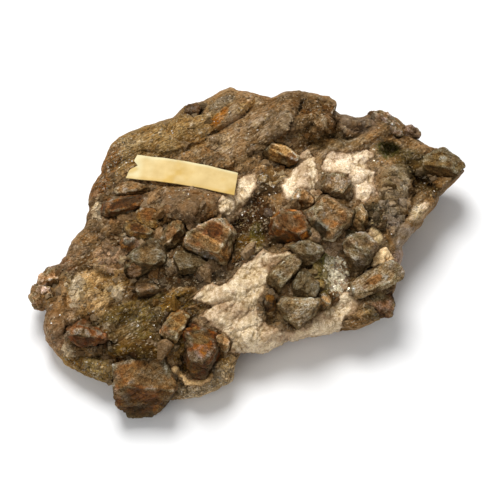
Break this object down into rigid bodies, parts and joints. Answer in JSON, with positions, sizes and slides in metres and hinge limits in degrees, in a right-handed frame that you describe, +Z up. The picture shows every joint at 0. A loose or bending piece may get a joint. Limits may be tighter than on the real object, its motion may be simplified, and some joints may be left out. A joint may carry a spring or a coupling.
{
  "type": "staurolite schist hand specimen",
  "caption": "Slab of mica schist studded with blocky staurolite crystals and quartz lenses, with a small bare paper label; lies on its flat underside.",
  "frame": {"origin": "centre of the bounding box in plan, on the resting plane under the rock", "axes": "+X along the specimen's length, from the blocky nub to the pointed end; +Y from the low front rim to the high back; +Z up"},
  "size_m": [0.177, 0.1388, 0.0457],
  "materials": {
    "schist": "rough foliated mica schist, brown to olive, with glittering flakes",
    "staurolite": "dull grey-brown crystal faces, pitted, with rust stains",
    "quartz": "cream-white granular quartz, slightly glossy",
    "paper": "aged yellow paper, matt, bare"
  },
  "bodies": {
    "root": {"schist_matrix": "schist", "crystal_large_cube": "staurolite", "crystal_great_block": "staurolite", "crystal_wedge_centre": "staurolite", "crystal_block_left": "staurolite", "crystal_upright": "staurolite", "crystal_prism_lower_right": "staurolite", "crystal_prism_centre": "staurolite", "crystal_wedge_lower": "staurolite", "crystal_tip_right": "staurolite", "crystal_rust_right": "staurolite", "crystal_faceted_right": "staurolite", "crystal_block_upper": "staurolite", "crystal_grey_wedge": "staurolite", "crystal_stepped": "staurolite", "crystal_round_right": "staurolite", "crystal_small_upper": "staurolite", "crystal_elongated_top": "staurolite", "crystal_ledge_back": "staurolite", "crystal_knob_back": "staurolite", "crystal_plate_centre": "staurolite", "crystal_narrow": "staurolite", "crystal_pair_left": "staurolite", "crystal_small_left": "staurolite", "crystal_prism_left": "staurolite", "crystal_under_label": "staurolite", "crystal_rusty_pair": "staurolite", "crystal_brown_lump": "staurolite", "crystal_lump_lower_left": "staurolite", "crystal_nub_left": "staurolite", "crystal_dark_small": "staurolite", "crystal_olive_rim": "staurolite", "crystal_small_below_block": "staurolite", "crystal_bump_top": "staurolite", "quartz_lens_centre": "quartz", "quartz_vein_upper_left": "quartz", "quartz_vein_upper_right": "quartz", "quartz_beside_label": "quartz", "quartz_crescent": "quartz", "quartz_nodule_upper": "quartz", "quartz_nodule_lower": "quartz", "paper_label": "paper"}
  },
  "joints": []
}
